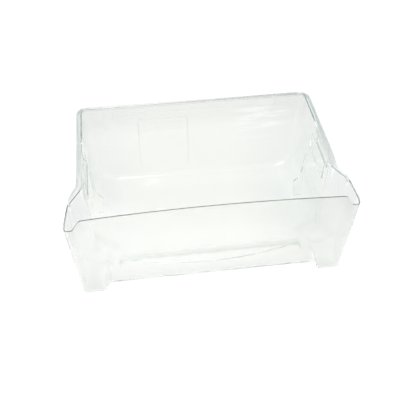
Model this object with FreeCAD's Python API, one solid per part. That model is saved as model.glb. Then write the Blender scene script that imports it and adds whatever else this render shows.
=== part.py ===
"""Fridge crisper drawer: one clear moulded tub with a raised front panel, flared shoulders and hanging flanges."""
import FreeCAD, Part
import math
import os

from FreeCAD import Vector

# Driving dimensions, in millimetres and degrees.
# The drawer is drawn with y = 0 at the top of the front panel and z = 0 under its feet.

# Overall sizes
FRONT_WIDTH = 454.0            # across the front panel at its low corners, before they are rounded
DEPTH = 273.0                  # front panel to the outer edge of the back lip
RIM_HEIGHT = 180.0             # rim of the sides and the back
FLOOR_HEIGHT = 23.0            # underside of the floor
WALL = 2.2                     # moulded wall

# Slopes of the walls
SIDE_DRAFT = 4.2
FRONT_RAKE = 3.7
BACK_DRAFT = 2.5
FRONT_SIDE_TAPER = 10.5        # how the front panel's side returns close in towards the tub

# Front panel, with an arched top edge between two low corners
ARCH_RISE = 0.5                # middle of the arch above the rim
ARCH_BOW = 7.0                 # middle of the arch above its ends
ARCH_STRAIGHT = 22.0           # straight run at each end of the arch
CORNER_DROP = 27.0             # low corners below the rim
CORNER_LAND = 14.0             # level run of a low corner
NOTCH_SLOPE_WIDTH = 12.0       # run of the slope from the arch down to a low corner
NOTCH_TOP_RADIUS = 9.0
NOTCH_FOOT_RADIUS = 6.0
FRONT_CORNER_RADIUS = 6.0

# Flared shoulders between the front panel and the tub
SHOULDER_FLARE = 30.0          # how far the front panel stands out beyond the tub's rim, on each side
SHOULDER_FRONT = 46.0          # where the flare reaches its full width
SHOULDER_LENGTH = 29.0         # from there to where the flare leaves the tub wall
SHOULDER_RADIUS = 22.0         # plan radius of both bends
FRONT_SECTION_OVERLAP = 14.0   # how far the front section runs into the tub

# Rim seen from the side, from a low front corner up to the tub's level rim
RETURN_START = 13.0            # where the rise along the side return begins
RETURN_RISE = 4.5              # step from the low corner to that start
SHOULDER_DROP = 15.0           # below the rim, at the front of the flare
RIM_LEVEL_SETBACK = 20.0       # from the back of the flare to the level rim
RETURN_BEND_RADIUS = 12.0
RIM_BEND_RADIUS = 60.0

# Tub
BOTTOM_RADIUS = 45.0           # along the lower edges of the tub and of the shoulders
BACK_CORNER_RADIUS = 15.0

# Hanging flange and its turned-down skirt
FLANGE_WIDTH = 7.0
FLANGE_THICKNESS = 2.2
BACK_LIP = 5.0
FLANGE_CORNER_RADIUS = 18.0
FLANGE_RUNOUT = 2.0            # how far the flange starts inside the shoulder's outer face
FLANGE_FRONT_LAG = 11.0        # its front bend behind the shoulder's
FLANGE_BACK_LAG = 5.0          # its rear bend behind the shoulder's
FLANGE_BEND_RADIUS = 24.0
SKIRT_THICKNESS = 1.8
SKIRT_HEIGHT = 7.0
DEEP_SKIRT_HEIGHT = 25.0
DEEP_SKIRT_FRONT = 92.0
DEEP_SKIRT_LENGTH = 95.0

# Upright guide pads in the sloping side walls, one above the other
UPPER_PAD_FRONT = 90.0
UPPER_PAD_LENGTH = 70.0
UPPER_PAD_HEIGHT = 25.0        # below the rim
LOWER_PAD_FRONT = 100.0
LOWER_PAD_LENGTH = 86.0
LOWER_PAD_HEIGHT = 31.0        # below the upper pad
PAD_RADIUS = 2.0

# Upright channel in the sloping back wall, left of the middle
CHANNEL_WIDTH = 88.0
CHANNEL_OFFSET = 57.0          # its middle from the drawer's middle
CHANNEL_DROP = 28.0            # its upper end below the rim
CHANNEL_FADE_RISE = 4.0        # where it runs out into the wall, above the floor's underside
CHANNEL_LEDGE = 5.0            # depth of the slope at its upper end
CHANNEL_LEDGE_HEIGHT = 42.0

# Front feet, which stand below the floor at the panel's ends
FOOT_WIDTH = 36.0              # across the front of the sole
FOOT_LENGTH = 34.0             # along the inner edge of the sole
FOOT_FLANK = 27.0              # lean of the inner flanks
FOOT_REAR_ANGLE = 24.0         # turn of the rear face in plan
FOOT_REAR_DRAFT = 20.0
FOOT_EDGE_RADIUS = 5.0         # round the sole

# Rear feet, cross ribs with plumb outer edges at the tub's lower sides
REAR_FOOT_WIDTH = 14.0         # on the ground
REAR_FOOT_HEIGHT = 101.0       # where their outer edges run out into the side walls
REAR_FOOT_THICKNESS = 2.2
REAR_FOOT_SETBACK = 75.0       # from the outer edge of the back lip
REAR_FOOT_LEAN = 5.0           # lean of their inner edges

# Finger grip under the front of the floor, with a bowed front
GRIP_FOOT_GAP = 27.0           # between its ends and the front feet's soles
GRIP_FRONT = 20.0              # middle of the bow
GRIP_END_FRONT = 42.0          # ends of the bow
GRIP_STRAIGHT = 42.0           # straight run at each end of the bow
GRIP_BACK = 54.0
GRIP_END_RADIUS = 5.5
GRIP_HEIGHT = 14.0
GRIP_DRAFT = 14.0

# Room that cutting shapes run past the moulding, and how near two drawn sizes count as the same
MARGIN = 20.0
TOLERANCE = 0.01

SIDE_SLOPE = math.tan(math.radians(SIDE_DRAFT))
RAKE_SLOPE = math.tan(math.radians(FRONT_RAKE))
BACK_SLOPE = math.tan(math.radians(BACK_DRAFT))
TAPER_SLOPE = math.tan(math.radians(FRONT_SIDE_TAPER))
ARCH_HEIGHT = RIM_HEIGHT + ARCH_RISE
CORNER_HEIGHT = RIM_HEIGHT - CORNER_DROP
SHOULDER_HEIGHT = RIM_HEIGHT - SHOULDER_DROP
SHOULDER_BACK = SHOULDER_FRONT + SHOULDER_LENGTH
OPEN_TOP = max(RIM_HEIGHT, ARCH_HEIGHT) + MARGIN
TUB_WIDTH = FRONT_WIDTH - 2 * SHOULDER_FLARE
BACK_WALL_Y = DEPTH - BACK_LIP
SPAN = FRONT_WIDTH + 2 * MARGIN


def plan(height):
    """Lays a point of a plan view at a height."""
    return lambda u, v: Vector(u, v, height)


def front_view(depth):
    """Lays a point of a front view at a depth behind the front panel."""
    return lambda u, v: Vector(u, depth, v)


def side_view(across):
    """Lays a point of a side view at a distance across the drawer."""
    return lambda u, v: Vector(across, u, v)


def outline(corners, place):
    """Closed wire through counter-clockwise corners (u, v, radius), with each corner rounded to its radius."""
    starts = []
    middles = []
    ends = []
    for index, (u, v, radius) in enumerate(corners):
        corner = Vector(u, v, 0)
        before = Vector(*corners[index - 1][:2], 0) - corner
        after = Vector(*corners[(index + 1) % len(corners)][:2], 0) - corner
        before.normalize()
        after.normalize()
        half_angle = before.getAngle(after) / 2
        inward = (before + after).normalize()
        reach = radius / math.tan(half_angle)
        starts.append(corner + before * reach)
        ends.append(corner + after * reach)
        middles.append(corner + inward * (radius / math.sin(half_angle) - radius))
    edges = []
    for index, corner in enumerate(corners):
        start, middle, end = (place(p.x, p.y) for p in (starts[index], middles[index], ends[index]))
        following = starts[(index + 1) % len(corners)]
        if corner[2] > 0:
            edges.append(Part.Arc(start, middle, end).toShape())
        edges.append(Part.LineSegment(end, place(following.x, following.y)).toShape())
    return Part.Wire(edges)


def inset(corners, distance):
    """Moves every side of a counter-clockwise outline inwards, and keeps its rounded corners parallel."""
    moved = []
    for index, (u, v, radius) in enumerate(corners):
        corner = Vector(u, v, 0)
        arriving = corner - Vector(*corners[index - 1][:2], 0)
        leaving = Vector(*corners[(index + 1) % len(corners)][:2], 0) - corner
        arriving.normalize()
        leaving.normalize()
        first = Vector(-arriving.y, arriving.x, 0)
        second = Vector(-leaving.y, leaving.x, 0)
        shift = (first + second) * (distance / (1 + first.dot(second)))
        turns_left = arriving.cross(leaving).z > 0
        new_radius = radius - distance if turns_left else radius + distance
        moved.append((u + shift.x, v + shift.y, max(new_radius, 0) if radius > 0 else 0))
    return moved


def prism(corners, place, along):
    """Straight solid on a rounded outline."""
    return Part.Face(outline(corners, place)).extrude(along)


def across(corners):
    """Straight solid on a side-view outline, through the whole width."""
    return prism(corners, side_view(-SPAN / 2), Vector(SPAN, 0, 0))


def upright(corners, low, high):
    """Straight solid on a plan outline between two heights."""
    return prism(corners, plan(low), Vector(0, 0, high - low))


def tapered(section, low, high):
    """Solid between the plan outlines that a section gives at two heights."""
    bottom, top = (outline(section(z), plan(z)) for z in (low, high))
    faces = [sloping_face(*edges) for edges in zip(bottom.Edges, top.Edges)]
    return Part.makeSolid(Part.makeShell(faces + [Part.Face(bottom), Part.Face(top)]))


def sloping_face(low, high):
    """Face between parallel edges: flat on straight ones, an inclined cylinder or a ruled face on arcs."""
    ends = [edge.valueAt(t) for edge in (low, high) for t in (edge.FirstParameter, edge.LastParameter)]
    if not isinstance(low.Curve, Part.Circle):
        return Part.Face(Part.makePolygon([ends[0], ends[1], ends[3], ends[2], ends[0]]))
    if abs(low.Curve.Radius - high.Curve.Radius) < TOLERANCE:
        return low.extrude(ends[2] - ends[0])
    return Part.makeRuledSurface(low, high)


def rounded(shape, radius, edges):
    """Rounds the edges of a shape, or leaves them sharp where the wall takes up the whole radius."""
    return shape.makeFillet(radius, edges) if radius > 0 else shape


def front_y(z):
    """Outer face of the raked front panel."""
    return (ARCH_HEIGHT - z) * RAKE_SLOPE


def back_y(z):
    """Outer face of the sloping back wall."""
    return BACK_WALL_Y - (RIM_HEIGHT - z) * BACK_SLOPE


def tub_x(z):
    """Outer face of the tub's side wall."""
    return TUB_WIDTH / 2 - (RIM_HEIGHT - z) * SIDE_SLOPE


def return_x(y, z):
    """Outer face of the front panel's side return."""
    return FRONT_WIDTH / 2 - (CORNER_HEIGHT - z) * SIDE_SLOPE - y * TAPER_SLOPE


def mirrored(half):
    """Closes a counter-clockwise outline from its right half, listed from front to back."""
    return half + [(-u, v, radius) for u, v, radius in reversed(half)]


def bow(half_width, straight, height):
    """Height over its ends, and radius, of the corner that rounds off to a bow with straight end runs."""
    curved = half_width - straight
    slope = height / (half_width - curved / 2)
    return half_width * slope, curved / math.sin(math.atan(slope))


# The front panel's corner zone ends behind the panel's inner face
CORNER_ZONE = front_y(CORNER_HEIGHT) + 2 * WALL

# Inner edge of the right front foot's sole
FOOT_INNER_X = return_x(front_y(0), 0) - FOOT_WIDTH


def front_section(inside):
    """Front panel, side returns and shoulders, down to the feet; inside is 0 for the outer faces."""
    def section(z):
        right = [
            (return_x(front_y(z), z), front_y(z), FRONT_CORNER_RADIUS),
            (return_x(SHOULDER_FRONT, z), SHOULDER_FRONT, SHOULDER_RADIUS),
            (tub_x(z), SHOULDER_BACK, SHOULDER_RADIUS),
            (tub_x(z), SHOULDER_BACK + FRONT_SECTION_OVERLAP, 0),
        ]
        return inset(mirrored(right), inside)

    right_space = space_behind_foot(inside)
    left_space = right_space.mirror(Vector(0, 0, 0), Vector(1, 0, 0))
    standing = tapered(section, inside, OPEN_TOP).cut([space_between_feet(inside), right_space, left_space])
    sole_edges = [edge for edge in standing.Edges if abs(edge.BoundBox.ZMax - inside) < TOLERANCE]
    return rounded(standing, FOOT_EDGE_RADIUS - inside, sole_edges)


def space_between_feet(grown):
    """Open space under the floor between the flanks of the front feet."""
    flank = math.tan(math.radians(FOOT_FLANK))
    ground = FOOT_INNER_X + MARGIN * flank
    top = FOOT_INNER_X - FLOOR_HEIGHT * flank
    corners = [(-ground, -MARGIN, 0), (ground, -MARGIN, 0), (top, FLOOR_HEIGHT, 0), (-top, FLOOR_HEIGHT, 0)]
    return prism(inset(corners, -grown), front_view(-MARGIN), Vector(0, DEPTH, 0))


def space_behind_foot(grown):
    """Open space behind the right front foot, under the floor and the shoulder's round lower edge."""
    turn = math.tan(math.radians(FOOT_REAR_ANGLE))
    lean = math.tan(math.radians(FOOT_REAR_DRAFT))
    inner_end = front_y(0) + FOOT_LENGTH
    top = FLOOR_HEIGHT + BOTTOM_RADIUS + MARGIN

    def rear_face(x, z):
        return inner_end + z * lean - (x - FOOT_INNER_X) * turn

    def section(z):
        corners = [
            (0, rear_face(0, z), 0),
            (SPAN / 2, rear_face(SPAN / 2, z), 0),
            (SPAN / 2, 2 * DEPTH, 0),
            (0, 2 * DEPTH, 0),
        ]
        return inset(corners, -grown)

    below = [
        (0, -MARGIN, 0),
        (SPAN, -MARGIN, 0),
        (SPAN, top, 0),
        (return_x(-MARGIN, top), top, 0),
        (return_x(-MARGIN, FLOOR_HEIGHT), FLOOR_HEIGHT, BOTTOM_RADIUS),
        (0, FLOOR_HEIGHT, 0),
    ]
    along_return = Vector(-TAPER_SLOPE, 1, 0) * (DEPTH + MARGIN)
    under = prism(inset(below, -grown), front_view(-MARGIN), along_return)
    return under.common(tapered(section, -2 * MARGIN, top + MARGIN))


def tub(inside):
    """Round-bottomed tub behind the shoulders; inside is 0 for the outer faces."""
    top = OPEN_TOP + MARGIN
    profile = [
        (-tub_x(top), top, 0),
        (-tub_x(FLOOR_HEIGHT), FLOOR_HEIGHT, BOTTOM_RADIUS),
        (tub_x(FLOOR_HEIGHT), FLOOR_HEIGHT, BOTTOM_RADIUS),
        (tub_x(top), top, 0),
    ]
    trough = prism(inset(profile, inside), front_view(SHOULDER_FRONT), Vector(0, DEPTH, 0))
    behind = [(back_y(0), 0, 0), (DEPTH + SPAN, 0, 0), (DEPTH + SPAN, top, 0), (back_y(top), top, 0)]
    trough = trough.cut(across(inset(behind, -inside)))
    back_edges = [edge for edge in trough.Edges if is_back_edge(edge, inside)]
    return rounded(trough, BACK_CORNER_RADIUS - inside, back_edges)


def is_back_edge(edge, inside):
    """True for the edges round the back wall, other than its top."""
    offset = inside / math.cos(math.radians(BACK_DRAFT))
    on_wall = all(abs(v.Point.y - back_y(v.Point.z) + offset) < TOLERANCE for v in edge.Vertexes)
    return on_wall and edge.CenterOfMass.z < OPEN_TOP


def guide_pad(inside, front, length, top, height):
    """Upright pads at one level of both side walls, flush with the wall at their top, as one block."""
    corners = [
        (tub_x(top), front, PAD_RADIUS),
        (tub_x(top), front + length, PAD_RADIUS),
    ]
    return upright(inset(mirrored(corners), inside), top - height + inside, OPEN_TOP)


def guide_pads(inside):
    """Upper and lower guide pads."""
    lower_top = RIM_HEIGHT - UPPER_PAD_HEIGHT
    upper = guide_pad(inside, UPPER_PAD_FRONT, UPPER_PAD_LENGTH, RIM_HEIGHT, UPPER_PAD_HEIGHT)
    lower = guide_pad(inside, LOWER_PAD_FRONT, LOWER_PAD_LENGTH, lower_top, LOWER_PAD_HEIGHT)
    return [upper, lower]


def rear_feet():
    """Pair of cross ribs that stand level with the front feet and run out up the side walls."""
    lean = math.tan(math.radians(REAR_FOOT_LEAN))
    top = REAR_FOOT_HEIGHT + WALL
    outer = tub_x(REAR_FOOT_HEIGHT)
    inner = outer - REAR_FOOT_WIDTH
    right = [(inner, 0, 0), (outer, 0, 0), (outer, top, 0), (inner - top * lean, top, 0)]
    left = [(-u, v, radius) for u, v, radius in reversed(right)]
    place = front_view(DEPTH - REAR_FOOT_SETBACK)
    return [prism(side, place, Vector(0, -REAR_FOOT_THICKNESS, 0)) for side in (right, left)]


def channel(inside):
    """Upright step of the back wall into the tub; inside is 0 for the face in the tub, WALL for the one behind."""
    face = back_y(FLOOR_HEIGHT + CHANNEL_FADE_RISE) - WALL
    top = RIM_HEIGHT - CHANNEL_DROP
    corners = [
        (face, FLOOR_HEIGHT, 0),
        (DEPTH + SPAN, FLOOR_HEIGHT, 0),
        (DEPTH + SPAN, top, 0),
        (face + CHANNEL_LEDGE, top, 0),
        (face, top - CHANNEL_LEDGE_HEIGHT, 0),
    ]
    width = CHANNEL_WIDTH - 2 * inside
    return prism(inset(corners, inside), side_view(-CHANNEL_OFFSET - width / 2), Vector(width, 0, 0))


def finger_grip(grown):
    """Hollow under the floor with a bowed front; grown is 0 for its own face, WALL for the hump above it."""
    slope = math.tan(math.radians(GRIP_DRAFT))
    end = FOOT_INNER_X - GRIP_FOOT_GAP
    apex, radius = bow(end, GRIP_STRAIGHT, GRIP_END_FRONT - GRIP_FRONT)
    corners = [
        (0, GRIP_END_FRONT - apex, radius),
        (end, GRIP_END_FRONT, GRIP_END_RADIUS),
        (end, GRIP_BACK, GRIP_END_RADIUS),
        (-end, GRIP_BACK, GRIP_END_RADIUS),
        (-end, GRIP_END_FRONT, GRIP_END_RADIUS),
    ]
    return tapered(lambda z: inset(corners, (z - FLOOR_HEIGHT) * slope - grown), FLOOR_HEIGHT - WALL,
                   FLOOR_HEIGHT + GRIP_HEIGHT + grown)


# Side view of the rim: low front corner, rise to the shoulder, climb to the tub's level rim
RIM_LINE = [
    (-MARGIN, CORNER_HEIGHT, 0),
    (CORNER_ZONE, CORNER_HEIGHT, 0),
    (RETURN_START, CORNER_HEIGHT + RETURN_RISE, RETURN_BEND_RADIUS),
    (SHOULDER_FRONT, SHOULDER_HEIGHT, RIM_BEND_RADIUS),
    (SHOULDER_BACK + RIM_LEVEL_SETBACK, RIM_HEIGHT, RIM_BEND_RADIUS),
    (DEPTH + MARGIN, RIM_HEIGHT, 0),
]


def above_rim():
    """Everything above the rim behind the front panel."""
    lid = across(RIM_LINE + [(DEPTH + MARGIN, 2 * OPEN_TOP, 0), (-MARGIN, 2 * OPEN_TOP, 0)])
    return lid.cut(Part.makeBox(SPAN, MARGIN + CORNER_ZONE, 3 * OPEN_TOP, Vector(-SPAN / 2, -MARGIN, 0)))


def above_front():
    """Everything above the front panel's arched edge and its low corners."""
    foot = FRONT_WIDTH / 2 - CORNER_LAND
    end = foot - NOTCH_SLOPE_WIDTH
    end_height = ARCH_HEIGHT - ARCH_BOW
    apex, radius = bow(end, ARCH_STRAIGHT, ARCH_BOW)
    right = [
        (SPAN / 2, CORNER_HEIGHT, 0),
        (SPAN / 2, 2 * OPEN_TOP, 0),
    ]
    left = [(-u, v, radius) for u, v, radius in reversed(right)]
    edge = [
        (-foot, CORNER_HEIGHT, NOTCH_FOOT_RADIUS),
        (-end, end_height, NOTCH_TOP_RADIUS),
        (0, end_height + apex, radius),
        (end, end_height, NOTCH_TOP_RADIUS),
        (foot, CORNER_HEIGHT, NOTCH_FOOT_RADIUS),
    ]
    return prism(edge + right + left, front_view(-MARGIN), Vector(0, MARGIN + CORNER_ZONE, 0))


def rim_band(height):
    """Band of a height under the rim line, through the whole width."""
    low = [(u, v - height, radius) for u, v, radius in RIM_LINE]
    return across(low + RIM_LINE[::-1])


def flange():
    """Hanging flange with its skirt, running out down the shoulders into the front panel's side returns."""
    edge = TUB_WIDTH / 2 + FLANGE_WIDTH
    front_bend = SHOULDER_FRONT + FLANGE_FRONT_LAG
    right = [
        (return_x(SHOULDER_FRONT, SHOULDER_HEIGHT) - FLANGE_RUNOUT, SHOULDER_FRONT, 0),
        (return_x(front_bend, SHOULDER_HEIGHT), front_bend, FLANGE_BEND_RADIUS),
        (edge, SHOULDER_BACK + FLANGE_BACK_LAG, FLANGE_BEND_RADIUS),
        (edge, DEPTH, FLANGE_CORNER_RADIUS),
    ]
    corners = mirrored(right)
    plate = upright(corners, FLOOR_HEIGHT, OPEN_TOP)
    ring = plate.cut(upright(inset(corners, SKIRT_THICKNESS), FLOOR_HEIGHT - MARGIN, OPEN_TOP + MARGIN))
    deep_zone = Part.makeBox(SPAN, DEEP_SKIRT_LENGTH, DEEP_SKIRT_HEIGHT,
                             Vector(-SPAN / 2, DEEP_SKIRT_FRONT, RIM_HEIGHT - DEEP_SKIRT_HEIGHT))
    pieces = [ring.common(rim_band(SKIRT_HEIGHT)), ring.common(deep_zone)]
    return plate.common(rim_band(FLANGE_THICKNESS)).multiFuse(pieces)


def drawer_body():
    """The whole moulding, moved so that the origin lies under its middle."""
    outside = tub(0).multiFuse([front_section(0), flange(), *guide_pads(0), *rear_feet()])
    hollow = tub(WALL).multiFuse([front_section(WALL), *guide_pads(WALL)])
    hollow = hollow.cut(channel(0)).cut(finger_grip(WALL))
    body = outside.cut(hollow).cut(finger_grip(0)).cut(channel(WALL))
    body = body.cut(above_rim()).cut(above_front()).removeSplitter()
    body.translate(Vector(0, -DEPTH / 2, 0))
    return body.Solids[0] if len(body.Solids) == 1 else body


os.makedirs("parts", exist_ok=True)
drawer = drawer_body()
drawer.exportStep("parts/drawer_body.step")
print("solids", len(drawer.Solids), "valid", drawer.isValid(), "volume", round(drawer.Volume / 1000, 1), "cm3")
print("box", drawer.BoundBox)
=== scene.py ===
"""Looks of a clear moulded fridge drawer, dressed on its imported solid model."""

import math

import bpy
from bpy.props import FloatProperty, FloatVectorProperty, IntProperty, PointerProperty
from mathutils import Matrix, Vector


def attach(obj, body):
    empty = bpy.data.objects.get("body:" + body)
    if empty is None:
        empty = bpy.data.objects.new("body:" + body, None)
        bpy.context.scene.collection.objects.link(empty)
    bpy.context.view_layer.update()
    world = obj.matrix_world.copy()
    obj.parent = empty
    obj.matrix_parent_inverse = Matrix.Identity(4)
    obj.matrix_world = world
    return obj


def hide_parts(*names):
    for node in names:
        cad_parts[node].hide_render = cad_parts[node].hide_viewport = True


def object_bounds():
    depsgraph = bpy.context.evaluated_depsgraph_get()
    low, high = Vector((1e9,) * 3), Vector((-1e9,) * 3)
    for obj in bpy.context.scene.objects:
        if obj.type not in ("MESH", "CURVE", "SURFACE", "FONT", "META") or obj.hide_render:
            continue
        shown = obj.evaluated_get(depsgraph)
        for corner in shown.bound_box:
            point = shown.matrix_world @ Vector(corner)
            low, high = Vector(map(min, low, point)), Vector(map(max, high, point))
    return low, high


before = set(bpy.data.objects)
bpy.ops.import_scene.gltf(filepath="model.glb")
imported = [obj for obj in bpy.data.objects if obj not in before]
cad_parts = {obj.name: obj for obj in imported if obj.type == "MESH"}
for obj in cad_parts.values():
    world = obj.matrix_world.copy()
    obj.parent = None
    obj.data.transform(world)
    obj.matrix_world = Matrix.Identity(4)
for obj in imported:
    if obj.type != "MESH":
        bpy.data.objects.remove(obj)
CAD_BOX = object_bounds()

bl_info = {
    "name": "Crisper Drawer",
    "version": (1, 0, 0),
    "blender": (4, 5, 0),
    "location": "3D View > Sidebar > Crisper Drawer",
    "description": "Gives the moulded fridge drawer its clear plastic, its tinted edges and a studio",
    "category": "Object",
}

DRAWER_NODE = "drawer_body"
DRAWER_BODY = "root"
DRAWER_PIECE = "drawer_moulding"

# Marks written on the moulding's faces and read by its material
FREE_EDGE = "free_edge"
FLANGE = "flange"
CLEAR_PART = "clear_part"
SOFT_FACE = "soft_face"

# Least part of a face's normal along an axis for the face to count as turned that way
SLOPED = 0.35
LEVEL = 0.7
SQUARE_ON = 0.8

# Sides and middle of the drawer's box, in metres
LEFT, FRONT, GROUND = CAD_BOX[0]
RIGHT, BACK, TOP = CAD_BOX[1]
MIDDLE = (CAD_BOX[0] + CAD_BOX[1]) / 2
DRAWER_SPAN = (CAD_BOX[1] - CAD_BOX[0]).length

# Widths, depths, heights and reaches below are spans in metres over which a tint or a finish comes in or
# fades out. Widths run from left to right, depths from front to back and heights from the ground up.
# A reach is a distance from a middle or a spot, a share is a part of one, and levels are those of a noise.

# Painted shade of the tub, darker towards the back and the sides and lighter in the left front
BACK_DEPTHS = (FRONT - 0.0035, BACK - 0.0165)
SIDE_DEPTHS = (FRONT - 0.0335, 0.0)
SIDE_MIDDLE = -0.008
SIDE_REACH = (0.06, 0.20)
LEFT_WIDTHS = (LEFT + 0.0555, LEFT + 0.1555)
LEFT_DEPTHS = (0.0, BACK - 0.0365)
LEFT_BACK_SHARE = 0.6

# Shade of the back wall under its rim
RIM_SHADE_DEPTHS = (BACK - 0.0465, BACK - 0.0265)
RIM_SHADE_HEIGHTS = (TOP - 0.0655, TOP - 0.0205)

# Shade of the front panel along its lower edge and at its right end
LOW_SHADE_HEIGHTS = (GROUND + 0.015, GROUND + 0.060)
LOW_SHADE_SHARE = 0.9
RIGHT_SHADE_WIDTHS = (RIGHT - 0.1455, RIGHT - 0.0455)
RIGHT_SHADE_SHARE = 0.45
FRONT_SHADE_DEPTHS = (FRONT + 0.0465, FRONT + 0.0965)

# Painted shade of the flared shoulders
SHOULDER_REACH = (RIGHT - 0.0495, RIGHT - 0.0315)
SHOULDER_START_DEPTHS = (FRONT + 0.0045, FRONT + 0.0215)
SHOULDER_END_DEPTHS = (FRONT + 0.0615, FRONT + 0.1015)
SHOULDER_HEIGHTS = (TOP - 0.1005, TOP - 0.0505)
SHOULDER_SHARES = (0.2, 1.0)

# Flange, lip and free edges; the flange's teal and the dark lines are painted shade over the plastic's own
# teal
RETURN_DEPTHS = (FRONT + 0.090, FRONT + 0.250)
INNER_LINE_REACH = (RIGHT - 0.02895, RIGHT - 0.02815)
INNER_LINE_DEPTHS = (BACK - 0.1065, BACK - 0.0915)
LIP_DEPTHS = (BACK - 0.0565, BACK - 0.0365)
EDGE_RETURN_DEPTHS = (FRONT + 0.006, FRONT + 0.022)

# Painted shade lines along the sides of the upright channel
CHANNEL_MIDDLE = -0.057
CHANNEL_HALF_WIDTH = 0.044
CHANNEL_LINE_REACH = (0.0003, 0.0015)
CHANNEL_DEPTHS = (BACK - 0.0415, BACK - 0.0315)
CHANNEL_START_HEIGHTS = (GROUND + 0.035, GROUND + 0.055)
CHANNEL_END_HEIGHTS = (TOP - 0.0365, TOP - 0.0285)
CHANNEL_FADE_HEIGHTS = (TOP - 0.0755, TOP - 0.0355)
CHANNEL_FADE_SHARES = (0.35, 1.0)

# Painted reflection streaks, high up on the right of the back wall
STREAK_SPOT = (RIGHT - 0.1075, BACK - 0.0085, TOP - 0.0335)
STREAK_REACH = (0.02, 0.07)
STREAK_SHARE = 0.45
STREAK_TURN = (0.0, math.radians(4.0), 0.0)
STREAK_STRETCH = (0.10, 0.10, 1.0)
STREAK_LEVELS = (0.50, 0.72)

# Haze of the front panel and fine rubbing
HAZE_REACH = (0.11, 0.15)
HAZE_DEPTHS = (FRONT + 0.0065, FRONT + 0.0165)
RUBBING_LEVELS = (0.45, 0.75)

# Scale and detail of each noise
TINT_NOISE = (9.0, 2.0)
STREAK_NOISE = (110.0, 2.0)
RUBBING_NOISE = (60.0, 6.0)
WAVE_NOISE = (22.0, 1.0)

# Gap under the feet in metres, the floor's side in drawer spans and the camera's sensor in millimetres
FLOOR_GAP = 0.0005
FLOOR_SPANS = 12
SENSOR_WIDTH = 36.0

# Grid on which the node editor shows the nodes
NODES_IN_ROW = 12
NODE_STEP_ACROSS = 220
NODE_STEP_DOWN = 400


def length(name, description, default):
    """A size in metres that a user can change."""
    return FloatProperty(name=name, description=description, default=default, min=0.0, unit="LENGTH")


def position(name, description, default):
    """A place in metres that a user can change."""
    return FloatVectorProperty(
        name=name,
        description=description,
        default=default,
        size=3,
        subtype="TRANSLATION",
    )


def colour(name, description, default):
    """A linear colour that a user can change."""
    return FloatVectorProperty(
        name=name,
        description=description,
        default=default,
        size=3,
        min=0.0,
        max=1.0,
        subtype="COLOR",
    )


def angle(name, description, degrees):
    """An angle that a user can change, given in degrees."""
    return FloatProperty(name=name, description=description, default=math.radians(degrees), subtype="ANGLE")


def share(name, description, default):
    """A share from nothing to all that a user can change."""
    return FloatProperty(
        name=name,
        description=description,
        default=default,
        min=0.0,
        max=1.0,
        subtype="FACTOR",
    )


def power(name, description, default):
    """A lamp's power in watts that a user can change."""
    return FloatProperty(name=name, description=description, default=default, min=0.0, unit="POWER")


class MouldingSettings(bpy.types.PropertyGroup):
    """Where the parts of the moulding lie that its material marks out."""

    edge_reach: length("Edge Reach", "How far behind the front panel's top the dark free edge runs", 0.046)
    edge_drop: length("Edge Drop", "How far the low front corners lie below the top", 0.030)
    flange_drop: length("Flange Drop", "How far the flange falls below the top at the shoulders", 0.018)
    skirt_drop: length("Skirt Drop", "How far the flange's skirt hangs below the top", 0.027)
    skirt_inset: length(
        "Skirt Inset",
        "How far the flange's outer face stands inside the front panel's ends",
        0.0281,
    )
    lip_depth: length("Lip Depth", "How far the lip at the back reaches behind the back wall", 0.0045)
    shelf_depth: length(
        "Shelf Depth",
        "How far in front of the back the shelf over the upright channel may lie",
        0.030,
    )
    shelf_start: length(
        "Shelf Start",
        "How far below the top the shelf over the upright channel may begin",
        0.010,
    )
    shelf_end: length(
        "Shelf End",
        "How far below the top the shelf over the upright channel may end",
        0.100,
    )
    rear_foot_place: length("Rear Foot Place", "How far the rear feet stand behind the middle", 0.0604)
    rear_foot_thickness: length("Rear Foot Thickness", "How thick the rear feet are", 0.0022)
    pad_inset: length(
        "Pad Inset",
        "How far inside the front panel's ends the guide pads may lie",
        0.042,
    )
    pad_drop: length("Pad Drop", "How far below the top the soft faces of the guide pads may lie", 0.060)
    pad_reach: length("Pad Reach", "How far behind the middle the guide pads reach", 0.050)


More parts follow.
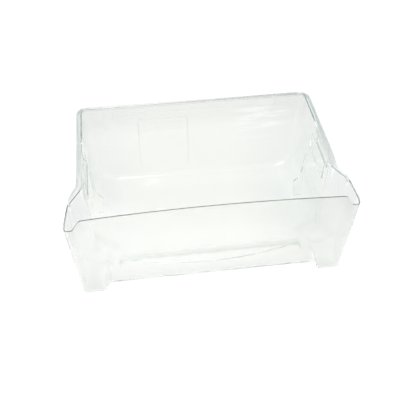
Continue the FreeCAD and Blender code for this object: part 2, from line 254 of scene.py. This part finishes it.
class PlasticSettings(bpy.types.PropertyGroup):
    """Colours, painted shade, painted reflection streaks and finish of the clear plastic."""

    cool_tint: colour("Cool Tint", "Front where its faint tint is cool", (0.985, 0.993, 0.980))
    warm_tint: colour("Warm Tint", "Front where its faint tint is warm", (0.990, 0.992, 0.976))
    # Back and side tints are painted shade of the tub, darker towards its back and sides
    back_shade_tint: colour("Back Tint", "Tub's back wall", (0.865, 0.885, 0.847))
    side_shade_tint: colour("Side Tint", "Tub towards its sides", (0.810, 0.832, 0.812))
    top_tint: colour("Top Tint", "Shade of the back wall under its rim", (0.935, 0.935, 0.94))
    # Painted reflection streaks in the back wall, standing in for a lamp mirrored in its waves
    reflection_streak_tint: colour("Flow Tint", "Pale flow marks in the back wall", (0.985, 0.990, 0.985))
    shade_tint: colour("Shade Tint", "Front panel's right end and lower edge", (0.905, 0.918, 0.897))
    # Painted shade on the flared shoulders
    shoulder_tint: colour("Shoulder Tint", "Flared shoulders", (0.800, 0.820, 0.812))
    # Painted shade along the upright channel's sides
    channel_shade_tint: colour("Channel Tint", "Lines along the upright channel's sides", (0.74, 0.76, 0.76))
    # Flange tints are painted shade over the plastic's own teal, paling towards the front
    flange_shade_tint: colour("Flange Tint", "Hanging flange at the back", (0.67, 0.73, 0.725))
    return_tint: colour("Return Tint", "Hanging flange towards the front", (0.905, 0.930, 0.925))
    # Line and edge tints are dark painted edge shade over the plastic's own teal
    line_shade_tint: colour(
        "Line Tint",
        "Lines along the flange's inner side and the front panel's side returns",
        (0.46, 0.49, 0.49),
    )
    lip_tint: colour("Lip Tint", "Lip behind the back wall", (0.945, 0.94, 0.94))
    edge_shade_tint: colour("Edge Tint", "Free edge along the front panel's top", (0.34, 0.355, 0.36))
    lamp_tint: colour("Lamp Tint", "Lamp light that has passed one face", (0.93, 0.95, 0.945))
    depth_colour: colour("Depth Colour", "Light that has run along the walls", (0.82, 0.87, 0.865))
    depth_density: FloatProperty(
        name="Depth Density",
        description="How strongly a metre of plastic takes on the depth colour",
        default=3.0,
        min=0.0,
    )
    refraction: FloatProperty(
        name="Refractive Index",
        description="Refractive index of clear polystyrene",
        default=1.59,
        min=1.0,
        max=2.0,
    )
    middle_haze: share("Middle Haze", "Roughness of the front panel's middle", 0.12)
    end_haze: share("End Haze", "Roughness of the front panel's ends", 0.17)
    softness: share("Softness", "Roughness of the guide pads and of the flange's front half", 0.3)
    rubbing: share("Rubbing", "Most that fine rubbing adds to the roughness", 0.05)
    wave_strength: share("Wave Strength", "How much of the mould's slow waves shows", 0.4)
    wave_height: length("Wave Height", "Height of the mould's slow waves", 0.0006)


class StageSettings(bpy.types.PropertyGroup):
    """Floor, room, lamps and camera around the drawer."""

    floor_size: length("Floor Size", "Length of each side of the floor", round(FLOOR_SPANS * DRAWER_SPAN))
    floor_colour: colour("Floor Colour", "Colour of the floor", (1.0, 1.0, 1.0))
    room_colour: colour("Room Colour", "Colour of the room around the drawer", (1.0, 1.0, 1.0))
    shadow_share: share(
        "Shadow Share",
        "Share of the floor's brightness that the lamps make and the drawer shades",
        0.25,
    )
    light_bounces: IntProperty(
        name="Light Bounces",
        description="How often light may turn inside the walls before it is lost",
        default=128,
        min=4,
    )
    key_place: position("Key Lamp Place", "Where the broad key lamp stands", (-0.7, -0.8, 1.7))
    key_size: length("Key Lamp Size", "Width of the key lamp", 1.6)
    key_power: power("Key Lamp Power", "Power of the key lamp", 20.0)
    highlight_place: position(
        "Highlight Lamp Place",
        "Where the small lamp stands that the walls mirror",
        (-0.014, 2.372, 2.0),
    )
    highlight_size: length("Highlight Lamp Size", "Width of the highlight lamp", 0.08)
    highlight_power: power("Highlight Lamp Power", "Power of the highlight lamp", 0.019)
    camera_place: position("Camera Place", "Where the camera stands", (-0.1162, -0.8922, 0.9070))
    camera_bearing: angle("Camera Bearing", "Turn of the camera from straight in front", -9.105)
    camera_elevation: angle("Camera Elevation", "Angle at which the camera looks down", 41.478)
    camera_roll: angle("Camera Roll", "Turn of the camera about its own line of sight", 1.048)
    lens: FloatProperty(
        name="Lens",
        description="Focal length of the camera",
        default=64.48,
        min=10.0,
        unit="CAMERA",
    )
    shift: FloatVectorProperty(
        name="Lens Shift",
        description="Shift of the picture's middle, as a share of its width",
        default=(-0.05, -0.05),
        size=2,
    )


class DrawerSettings(bpy.types.PropertyGroup):
    """All settings of the drawer and its stage."""

    moulding: PointerProperty(type=MouldingSettings)
    plastic: PointerProperty(type=PlasticSettings)
    stage: PointerProperty(type=StageSettings)


def new_tree(owner):
    """Gives a material or world an empty node tree and returns it."""
    owner.use_nodes = True
    owner.node_tree.nodes.clear()
    return owner.node_tree


def add_node(tree, kind, **values):
    """Adds a shader node at the next place in the editor's grid and sets its plain values."""
    row, column = divmod(len(tree.nodes), NODES_IN_ROW)
    node = tree.nodes.new(kind)
    node.location = (column * NODE_STEP_ACROSS, -row * NODE_STEP_DOWN)
    for name, value in values.items():
        setattr(node, name, value)
    return node


def feed(tree, socket, value):
    """Links a socket to another one, or sets it to a plain colour or number."""
    if isinstance(value, bpy.types.NodeSocket):
        tree.links.new(value, socket)
    elif socket.type == "RGBA":
        socket.default_value = (*value, 1.0)
    else:
        socket.default_value = value


def split(tree, place):
    """The three coordinates of a place."""
    axes = add_node(tree, "ShaderNodeSeparateXYZ")
    feed(tree, axes.inputs["Vector"], place)
    return axes.outputs


def noise(tree, place, scale, detail):
    """A noise over the drawer's own coordinates."""
    node = add_node(tree, "ShaderNodeTexNoise")
    feed(tree, node.inputs["Vector"], place)
    feed(tree, node.inputs["Scale"], scale)
    feed(tree, node.inputs["Detail"], detail)
    return node.outputs["Fac"]


def combined(tree, operation, first, second):
    """Two values put together by a sum of the given kind."""
    node = add_node(tree, "ShaderNodeMath", operation=operation)
    feed(tree, node.inputs[0], first)
    feed(tree, node.inputs[1], second)
    return node.outputs["Value"]


def product(tree, first, *others):
    """All the values multiplied."""
    for other in others:
        first = combined(tree, "MULTIPLY", first, other)
    return first


def distance(tree, value, middle=0.0):
    """How far a value lies from a middle, to either side."""
    return combined(tree, "ABSOLUTE", combined(tree, "SUBTRACT", value, middle), 0.0)


def remainder(tree, value):
    """What a value leaves of one."""
    return combined(tree, "SUBTRACT", 1.0, value)


def mapped(tree, value, source, target):
    """Carries one range of a value over to another, smoothly and within its ends."""
    node = add_node(tree, "ShaderNodeMapRange", interpolation_type="SMOOTHSTEP")
    feed(tree, node.inputs["Value"], value)
    for name, number in zip(("From Min", "From Max", "To Min", "To Max"), (*source, *target)):
        feed(tree, node.inputs[name], number)
    return node.outputs["Result"]


def fade_in(tree, value, span, most=1.0):
    """Comes in from nothing to the most as a value crosses a span."""
    return mapped(tree, value, span, (0.0, most))


def fade_out(tree, value, span, most=1.0):
    """Fades out from the most to nothing as a value crosses a span."""
    return mapped(tree, value, span, (most, 0.0))


def mixed(tree, factor, first, second, blend="MIX"):
    """Two colours mixed by a factor."""
    node = add_node(tree, "ShaderNodeMix", data_type="RGBA", blend_type=blend)
    feed(tree, node.inputs["Factor"], factor)
    feed(tree, node.inputs["A"], first)
    feed(tree, node.inputs["B"], second)
    return node.outputs["Result"]


def marked(tree, name):
    """One on the faces that carry a mark, else zero."""
    return add_node(tree, "ShaderNodeAttribute", attribute_name=name).outputs["Fac"]


def tub_painted_shade(tree, x, y, clear, settings):
    """Painted shade: clear at the front and darker towards the back and the sides, but less so in the left
    front.
    """
    left_front = product(tree, fade_out(tree, x, LEFT_WIDTHS), fade_out(tree, y, LEFT_DEPTHS))
    lightened = product(tree, left_front, LEFT_BACK_SHARE)
    back = product(tree, fade_in(tree, y, BACK_DEPTHS), remainder(tree, lightened))
    aside = fade_in(tree, distance(tree, x, SIDE_MIDDLE), SIDE_REACH)
    side = product(tree, aside, fade_in(tree, y, SIDE_DEPTHS), remainder(tree, left_front))
    return mixed(tree, side, mixed(tree, back, clear, settings.back_shade_tint), settings.side_shade_tint)


def rim_shade(tree, y, z):
    """Shade of the back wall under its rim."""
    return product(tree, fade_in(tree, z, RIM_SHADE_HEIGHTS), fade_in(tree, y, RIM_SHADE_DEPTHS))


def painted_reflection_streaks(tree, place):
    """Painted reflection streaks: pale streaks that stand in for a lamp mirrored in the wavy back wall, high
    up on its right.
    """
    drawn = add_node(tree, "ShaderNodeMapping")
    feed(tree, drawn.inputs["Vector"], place)
    feed(tree, drawn.inputs["Rotation"], STREAK_TURN)
    feed(tree, drawn.inputs["Scale"], STREAK_STRETCH)
    streaks = fade_in(tree, noise(tree, drawn.outputs["Vector"], *STREAK_NOISE), STREAK_LEVELS)
    spot = add_node(tree, "ShaderNodeVectorMath", operation="DISTANCE")
    feed(tree, spot.inputs[0], place)
    feed(tree, spot.inputs[1], STREAK_SPOT)
    return product(tree, streaks, fade_out(tree, spot.outputs["Value"], STREAK_REACH, STREAK_SHARE))


def front_shade(tree, x, y, z):
    """Shade of the front panel along its lower edge and at its right end."""
    low = fade_out(tree, z, LOW_SHADE_HEIGHTS, LOW_SHADE_SHARE)
    right = fade_in(tree, x, RIGHT_SHADE_WIDTHS, RIGHT_SHADE_SHARE)
    return product(tree, combined(tree, "MAXIMUM", low, right), fade_out(tree, y, FRONT_SHADE_DEPTHS))


def shoulder_shade(tree, x, y, z):
    """Shade of the flared shoulders, mostly in their upper part."""
    aside = fade_in(tree, distance(tree, x), SHOULDER_REACH)
    start = fade_in(tree, y, SHOULDER_START_DEPTHS)
    end = fade_out(tree, y, SHOULDER_END_DEPTHS)
    fade = mapped(tree, z, SHOULDER_HEIGHTS, SHOULDER_SHARES)
    return product(tree, aside, start, end, fade)


def channel_shade_lines(tree, x, y, z):
    """Painted shade: grey lines along both sides of the upright channel, fading downwards."""
    off_line = distance(tree, distance(tree, x, CHANNEL_MIDDLE), CHANNEL_HALF_WIDTH)
    line = fade_out(tree, off_line, CHANNEL_LINE_REACH)
    at_back = fade_in(tree, y, CHANNEL_DEPTHS)
    start = fade_in(tree, z, CHANNEL_START_HEIGHTS)
    end = fade_out(tree, z, CHANNEL_END_HEIGHTS)
    fade = mapped(tree, z, CHANNEL_FADE_HEIGHTS, CHANNEL_FADE_SHARES)
    return product(tree, line, at_back, start, end, fade)


def flange_painted_shade(tree, x, y, settings):
    """Painted shade over the plastic's own teal: teal that pales towards the front, with a dark line along
    the inner side at the back.
    """
    pale = fade_out(tree, y, RETURN_DEPTHS)
    inside = fade_out(tree, distance(tree, x), INNER_LINE_REACH)
    line = product(tree, inside, fade_in(tree, y, INNER_LINE_DEPTHS))
    flange = mixed(tree, pale, settings.flange_shade_tint, settings.return_tint)
    return mixed(tree, line, flange, settings.line_shade_tint)


def plastic_colour(tree, place, settings):
    """Faint uneven tint with painted shade and painted reflection streaks from place to place, and a teal
    flange and dark free edges in painted shade over the plastic's own teal.
    """
    x, y, z = split(tree, place)
    clear = mixed(tree, noise(tree, place, *TINT_NOISE), settings.cool_tint, settings.warm_tint)
    # Painted shade of the tub
    tint = tub_painted_shade(tree, x, y, clear, settings)
    tint = mixed(tree, rim_shade(tree, y, z), tint, settings.top_tint, "MULTIPLY")
    # Painted reflection streaks high up on the right of the back wall
    tint = mixed(tree, painted_reflection_streaks(tree, place), tint, settings.reflection_streak_tint)
    tint = mixed(tree, front_shade(tree, x, y, z), tint, settings.shade_tint)
    tint = mixed(tree, shoulder_shade(tree, x, y, z), tint, settings.shoulder_tint)
    tint = mixed(tree, channel_shade_lines(tree, x, y, z), tint, settings.channel_shade_tint)
    # Flange and free edges get painted edge shade over the plastic's own teal; clear parts drop the painted
    # shade
    marked_tints = {
        FLANGE: flange_painted_shade(tree, x, y, settings),
        CLEAR_PART: mixed(tree, fade_in(tree, y, LIP_DEPTHS), clear, settings.lip_tint),
        FREE_EDGE: mixed(tree, fade_in(tree, y, EDGE_RETURN_DEPTHS), settings.edge_shade_tint, settings.line_shade_tint),
    }
    for mark, marked_tint in marked_tints.items():
        tint = mixed(tree, marked(tree, mark), tint, marked_tint)
    return tint


def plastic_roughness(tree, place, settings):
    """Polish with fine rubbing, a haze on the front panel and soft pads and flange fronts."""
    axes = split(tree, place)
    hazes = (settings.middle_haze, settings.end_haze)
    haze = mapped(tree, distance(tree, axes["X"]), HAZE_REACH, hazes)
    haze = product(tree, haze, fade_out(tree, axes["Y"], HAZE_DEPTHS))
    softness = product(tree, marked(tree, SOFT_FACE), settings.softness)
    rubbing = fade_in(tree, noise(tree, place, *RUBBING_NOISE), RUBBING_LEVELS, settings.rubbing)
    return combined(tree, "ADD", combined(tree, "MAXIMUM", haze, softness), rubbing)


def mould_waves(tree, place, settings):
    """Slow waves left by the mould."""
    waves = add_node(tree, "ShaderNodeBump")
    feed(tree, waves.inputs["Strength"], settings.wave_strength)
    feed(tree, waves.inputs["Distance"], settings.wave_height)
    feed(tree, waves.inputs["Height"], noise(tree, place, *WAVE_NOISE))
    return waves.outputs["Normal"]


def clear_plastic(settings):
    """Clear polystyrene that tints light by its depth and lets lamps shine through."""
    material = bpy.data.materials.new("clear_plastic_polished")
    tree = new_tree(material)
    place = add_node(tree, "ShaderNodeTexCoord").outputs["Object"]

    plastic = add_node(tree, "ShaderNodeBsdfPrincipled")
    feed(tree, plastic.inputs["Base Color"], plastic_colour(tree, place, settings))
    feed(tree, plastic.inputs["Roughness"], plastic_roughness(tree, place, settings))
    feed(tree, plastic.inputs["Normal"], mould_waves(tree, place, settings))
    feed(tree, plastic.inputs["Metallic"], 0.0)
    feed(tree, plastic.inputs["Transmission Weight"], 1.0)
    feed(tree, plastic.inputs["IOR"], settings.refraction)

    lamp_light = add_node(tree, "ShaderNodeBsdfTransparent")
    feed(tree, lamp_light.inputs["Color"], settings.lamp_tint)
    ray = add_node(tree, "ShaderNodeLightPath")
    shown = add_node(tree, "ShaderNodeMixShader")
    feed(tree, shown.inputs["Fac"], ray.outputs["Is Shadow Ray"])
    feed(tree, shown.inputs[1], plastic.outputs["BSDF"])
    feed(tree, shown.inputs[2], lamp_light.outputs["BSDF"])

    depth = add_node(tree, "ShaderNodeVolumeAbsorption")
    feed(tree, depth.inputs["Color"], settings.depth_colour)
    feed(tree, depth.inputs["Density"], settings.depth_density)

    output = add_node(tree, "ShaderNodeOutputMaterial")
    feed(tree, output.inputs["Surface"], shown.outputs["Shader"])
    feed(tree, output.inputs["Volume"], depth.outputs["Volume"])
    return material


def is_free_edge(face, moulding):
    """True for the upward faces along the front panel's rim and its side returns."""
    near_front = face.center.y < FRONT + moulding.edge_reach
    return near_front and face.normal.z > SLOPED and face.center.z > TOP - moulding.edge_drop


def is_flange(face, moulding):
    """True for the faces of the hanging flange and its skirt."""
    if face.center.y < FRONT + moulding.edge_reach or face.center.z < TOP - moulding.skirt_drop:
        return False
    on_top = face.normal.z > SLOPED and face.center.z > TOP - moulding.flange_drop
    return on_top or abs(face.center.x) > RIGHT - moulding.skirt_inset


def is_clear_part(face, moulding):
    """True for the lip at the back, the shelf over the channel and the broad faces of the rear feet."""
    drop = TOP - face.center.z
    on_lip = face.center.y > BACK - moulding.lip_depth and drop < moulding.skirt_drop
    near_back = face.center.y > BACK - moulding.shelf_depth
    at_shelf = near_back and moulding.shelf_start < drop < moulding.shelf_end
    on_shelf = at_shelf and abs(face.normal.z) > LEVEL
    at_foot = abs(face.center.y - moulding.rear_foot_place) < moulding.rear_foot_thickness
    on_foot = at_foot and abs(face.normal.y) > SQUARE_ON
    return on_lip or on_shelf or on_foot


def is_soft_face(face, moulding):
    """True for the level and sloped faces of the guide pads and of the flange's front half."""
    on_wall = abs(face.center.x) > RIGHT - moulding.pad_inset and face.center.z > TOP - moulding.pad_drop
    in_reach = FRONT + moulding.edge_reach < face.center.y < moulding.pad_reach
    return on_wall and in_reach and abs(face.normal.z) > SLOPED


def mark_faces(mesh, name, test, moulding):
    """Writes one on the faces that pass a test, else zero."""
    mark = mesh.attributes.new(name, "FLOAT", "FACE")
    mark.data.foreach_set("value", [float(test(face, moulding)) for face in mesh.polygons])


class DRAWER_OT_moulding(bpy.types.Operator):
    """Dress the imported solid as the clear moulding"""

    bl_idname = "crisper_drawer.moulding"
    bl_label = "Drawer Moulding"

    def execute(self, context):
        settings = context.scene.crisper_drawer
        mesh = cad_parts[DRAWER_NODE].data.copy()
        mesh.name = DRAWER_PIECE
        mark_faces(mesh, FREE_EDGE, is_free_edge, settings.moulding)
        mark_faces(mesh, FLANGE, is_flange, settings.moulding)
        mark_faces(mesh, CLEAR_PART, is_clear_part, settings.moulding)
        mark_faces(mesh, SOFT_FACE, is_soft_face, settings.moulding)
        mesh.materials.clear()
        mesh.materials.append(clear_plastic(settings.plastic))
        piece = bpy.data.objects.new(DRAWER_PIECE, mesh)
        context.scene.collection.objects.link(piece)
        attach(piece, DRAWER_BODY)
        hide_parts(DRAWER_NODE)
        return {"FINISHED"}


def seen_rays(tree):
    """One for rays from the camera and for rays mirrored or let through by the drawer, else zero."""
    ray = add_node(tree, "ShaderNodeLightPath")
    mirrored = combined(tree, "MAXIMUM", ray.outputs["Is Camera Ray"], ray.outputs["Is Glossy Ray"])
    return combined(tree, "MAXIMUM", mirrored, ray.outputs["Is Transmission Ray"])


def floor_material(stage):
    """A pale floor that shows white and still takes a faint shadow."""
    material = bpy.data.materials.new("pale_floor")
    material.cycles.emission_sampling = "NONE"
    tree = new_tree(material)
    lit = add_node(tree, "ShaderNodeBsdfDiffuse")
    feed(tree, lit.inputs["Color"], stage.floor_colour)
    glow = add_node(tree, "ShaderNodeEmission")
    feed(tree, glow.inputs["Color"], stage.floor_colour)
    shown = add_node(tree, "ShaderNodeMixShader")
    feed(tree, shown.inputs["Fac"], product(tree, seen_rays(tree), 1.0 - stage.shadow_share))
    feed(tree, shown.inputs[1], lit.outputs["BSDF"])
    feed(tree, shown.inputs[2], glow.outputs["Emission"])
    output = add_node(tree, "ShaderNodeOutputMaterial")
    feed(tree, output.inputs["Surface"], shown.outputs["Shader"])
    return material


def add_floor(scene, stage):
    """Lays the floor just under the drawer's feet."""
    half = stage.floor_size / 2
    corners = [(-half, -half, 0), (half, -half, 0), (half, half, 0), (-half, half, 0)]
    mesh = bpy.data.meshes.new("floor")
    mesh.from_pydata(corners, [], [(0, 1, 2, 3)])
    mesh.materials.append(floor_material(stage))
    floor = bpy.data.objects.new("floor", mesh)
    floor.location.z = GROUND - FLOOR_GAP
    scene.collection.objects.link(floor)


def add_world(scene, stage):
    """A plain pale room."""
    world = bpy.data.worlds.new("pale_room")
    scene.world = world
    tree = new_tree(world)
    room = add_node(tree, "ShaderNodeBackground")
    feed(tree, room.inputs["Color"], stage.room_colour)
    output = add_node(tree, "ShaderNodeOutputWorld")
    feed(tree, output.inputs["Surface"], room.outputs["Background"])


def add_lamp(scene, name, place, size, watts, mirrored):
    """Adds a soft round lamp that faces the drawer's middle and that the plastic mirrors or not."""
    lamp = bpy.data.lights.new(name, "AREA")
    lamp.shape = "DISK"
    lamp.size = size
    lamp.energy = watts
    holder = bpy.data.objects.new(name, lamp)
    holder.visible_glossy = mirrored
    holder.location = place
    holder.rotation_euler = (MIDDLE - Vector(place)).to_track_quat("-Z", "Y").to_euler()
    scene.collection.objects.link(holder)


def add_camera(scene, stage):
    """Sets the camera up as the photograph was taken."""
    data = bpy.data.cameras.new("camera")
    data.sensor_width = SENSOR_WIDTH
    data.lens = stage.lens
    data.shift_x, data.shift_y = stage.shift
    camera = bpy.data.objects.new("camera", data)
    turn = Matrix.Rotation(stage.camera_bearing, 4, "Z")
    tilt = Matrix.Rotation(math.pi / 2 - stage.camera_elevation, 4, "X")
    roll = Matrix.Rotation(stage.camera_roll, 4, "Z")
    camera.matrix_world = Matrix.Translation(stage.camera_place) @ turn @ tilt @ roll
    scene.collection.objects.link(camera)
    scene.camera = camera


def let_light_through(scene, bounces):
    """Lets light turn inside the walls until it finds its way out."""
    scene.cycles.max_bounces = bounces
    scene.cycles.glossy_bounces = bounces
    scene.cycles.transmission_bounces = bounces


class DRAWER_OT_stage(bpy.types.Operator):
    """Set up the floor, room, lamps and camera"""

    bl_idname = "crisper_drawer.stage"
    bl_label = "Studio"

    def execute(self, context):
        scene = context.scene
        stage = scene.crisper_drawer.stage
        scene.view_settings.view_transform = "Standard"
        add_floor(scene, stage)
        add_world(scene, stage)
        add_lamp(scene, "key_lamp", stage.key_place, stage.key_size, stage.key_power, mirrored=False)
        add_lamp(
            scene,
            "highlight_lamp",
            stage.highlight_place,
            stage.highlight_size,
            stage.highlight_power,
            mirrored=True,
        )
        add_camera(scene, stage)
        let_light_through(scene, stage.light_bounces)
        return {"FINISHED"}


class DRAWER_PT_sidebar(bpy.types.Panel):
    """Lists the drawer's steps and settings"""

    bl_label = "Crisper Drawer"
    bl_idname = "DRAWER_PT_sidebar"
    bl_space_type = "VIEW_3D"
    bl_region_type = "UI"
    bl_category = "Crisper Drawer"

    def draw(self, context):
        settings = context.scene.crisper_drawer
        steps = (
            (DRAWER_OT_moulding, (settings.moulding, settings.plastic)),
            (DRAWER_OT_stage, (settings.stage,)),
        )
        for step, groups in steps:
            box = self.layout.box()
            box.operator(step.bl_idname)
            for group in groups:
                for name in group.__annotations__:
                    box.prop(group, name)


CLASSES = (
    MouldingSettings,
    PlasticSettings,
    StageSettings,
    DrawerSettings,
    DRAWER_OT_moulding,
    DRAWER_OT_stage,
    DRAWER_PT_sidebar,
)


def register():
    """Makes the settings, operators and panel known."""
    for item in CLASSES:
        bpy.utils.register_class(item)
    bpy.types.Scene.crisper_drawer = PointerProperty(type=DrawerSettings)


def unregister():
    """Takes the settings, operators and panel away again."""
    del bpy.types.Scene.crisper_drawer
    for item in reversed(CLASSES):
        bpy.utils.unregister_class(item)


def main():
    """Builds the drawer and its stage."""
    register()
    bpy.ops.crisper_drawer.moulding()
    bpy.ops.crisper_drawer.stage()


if __name__ == "__main__":
    main()
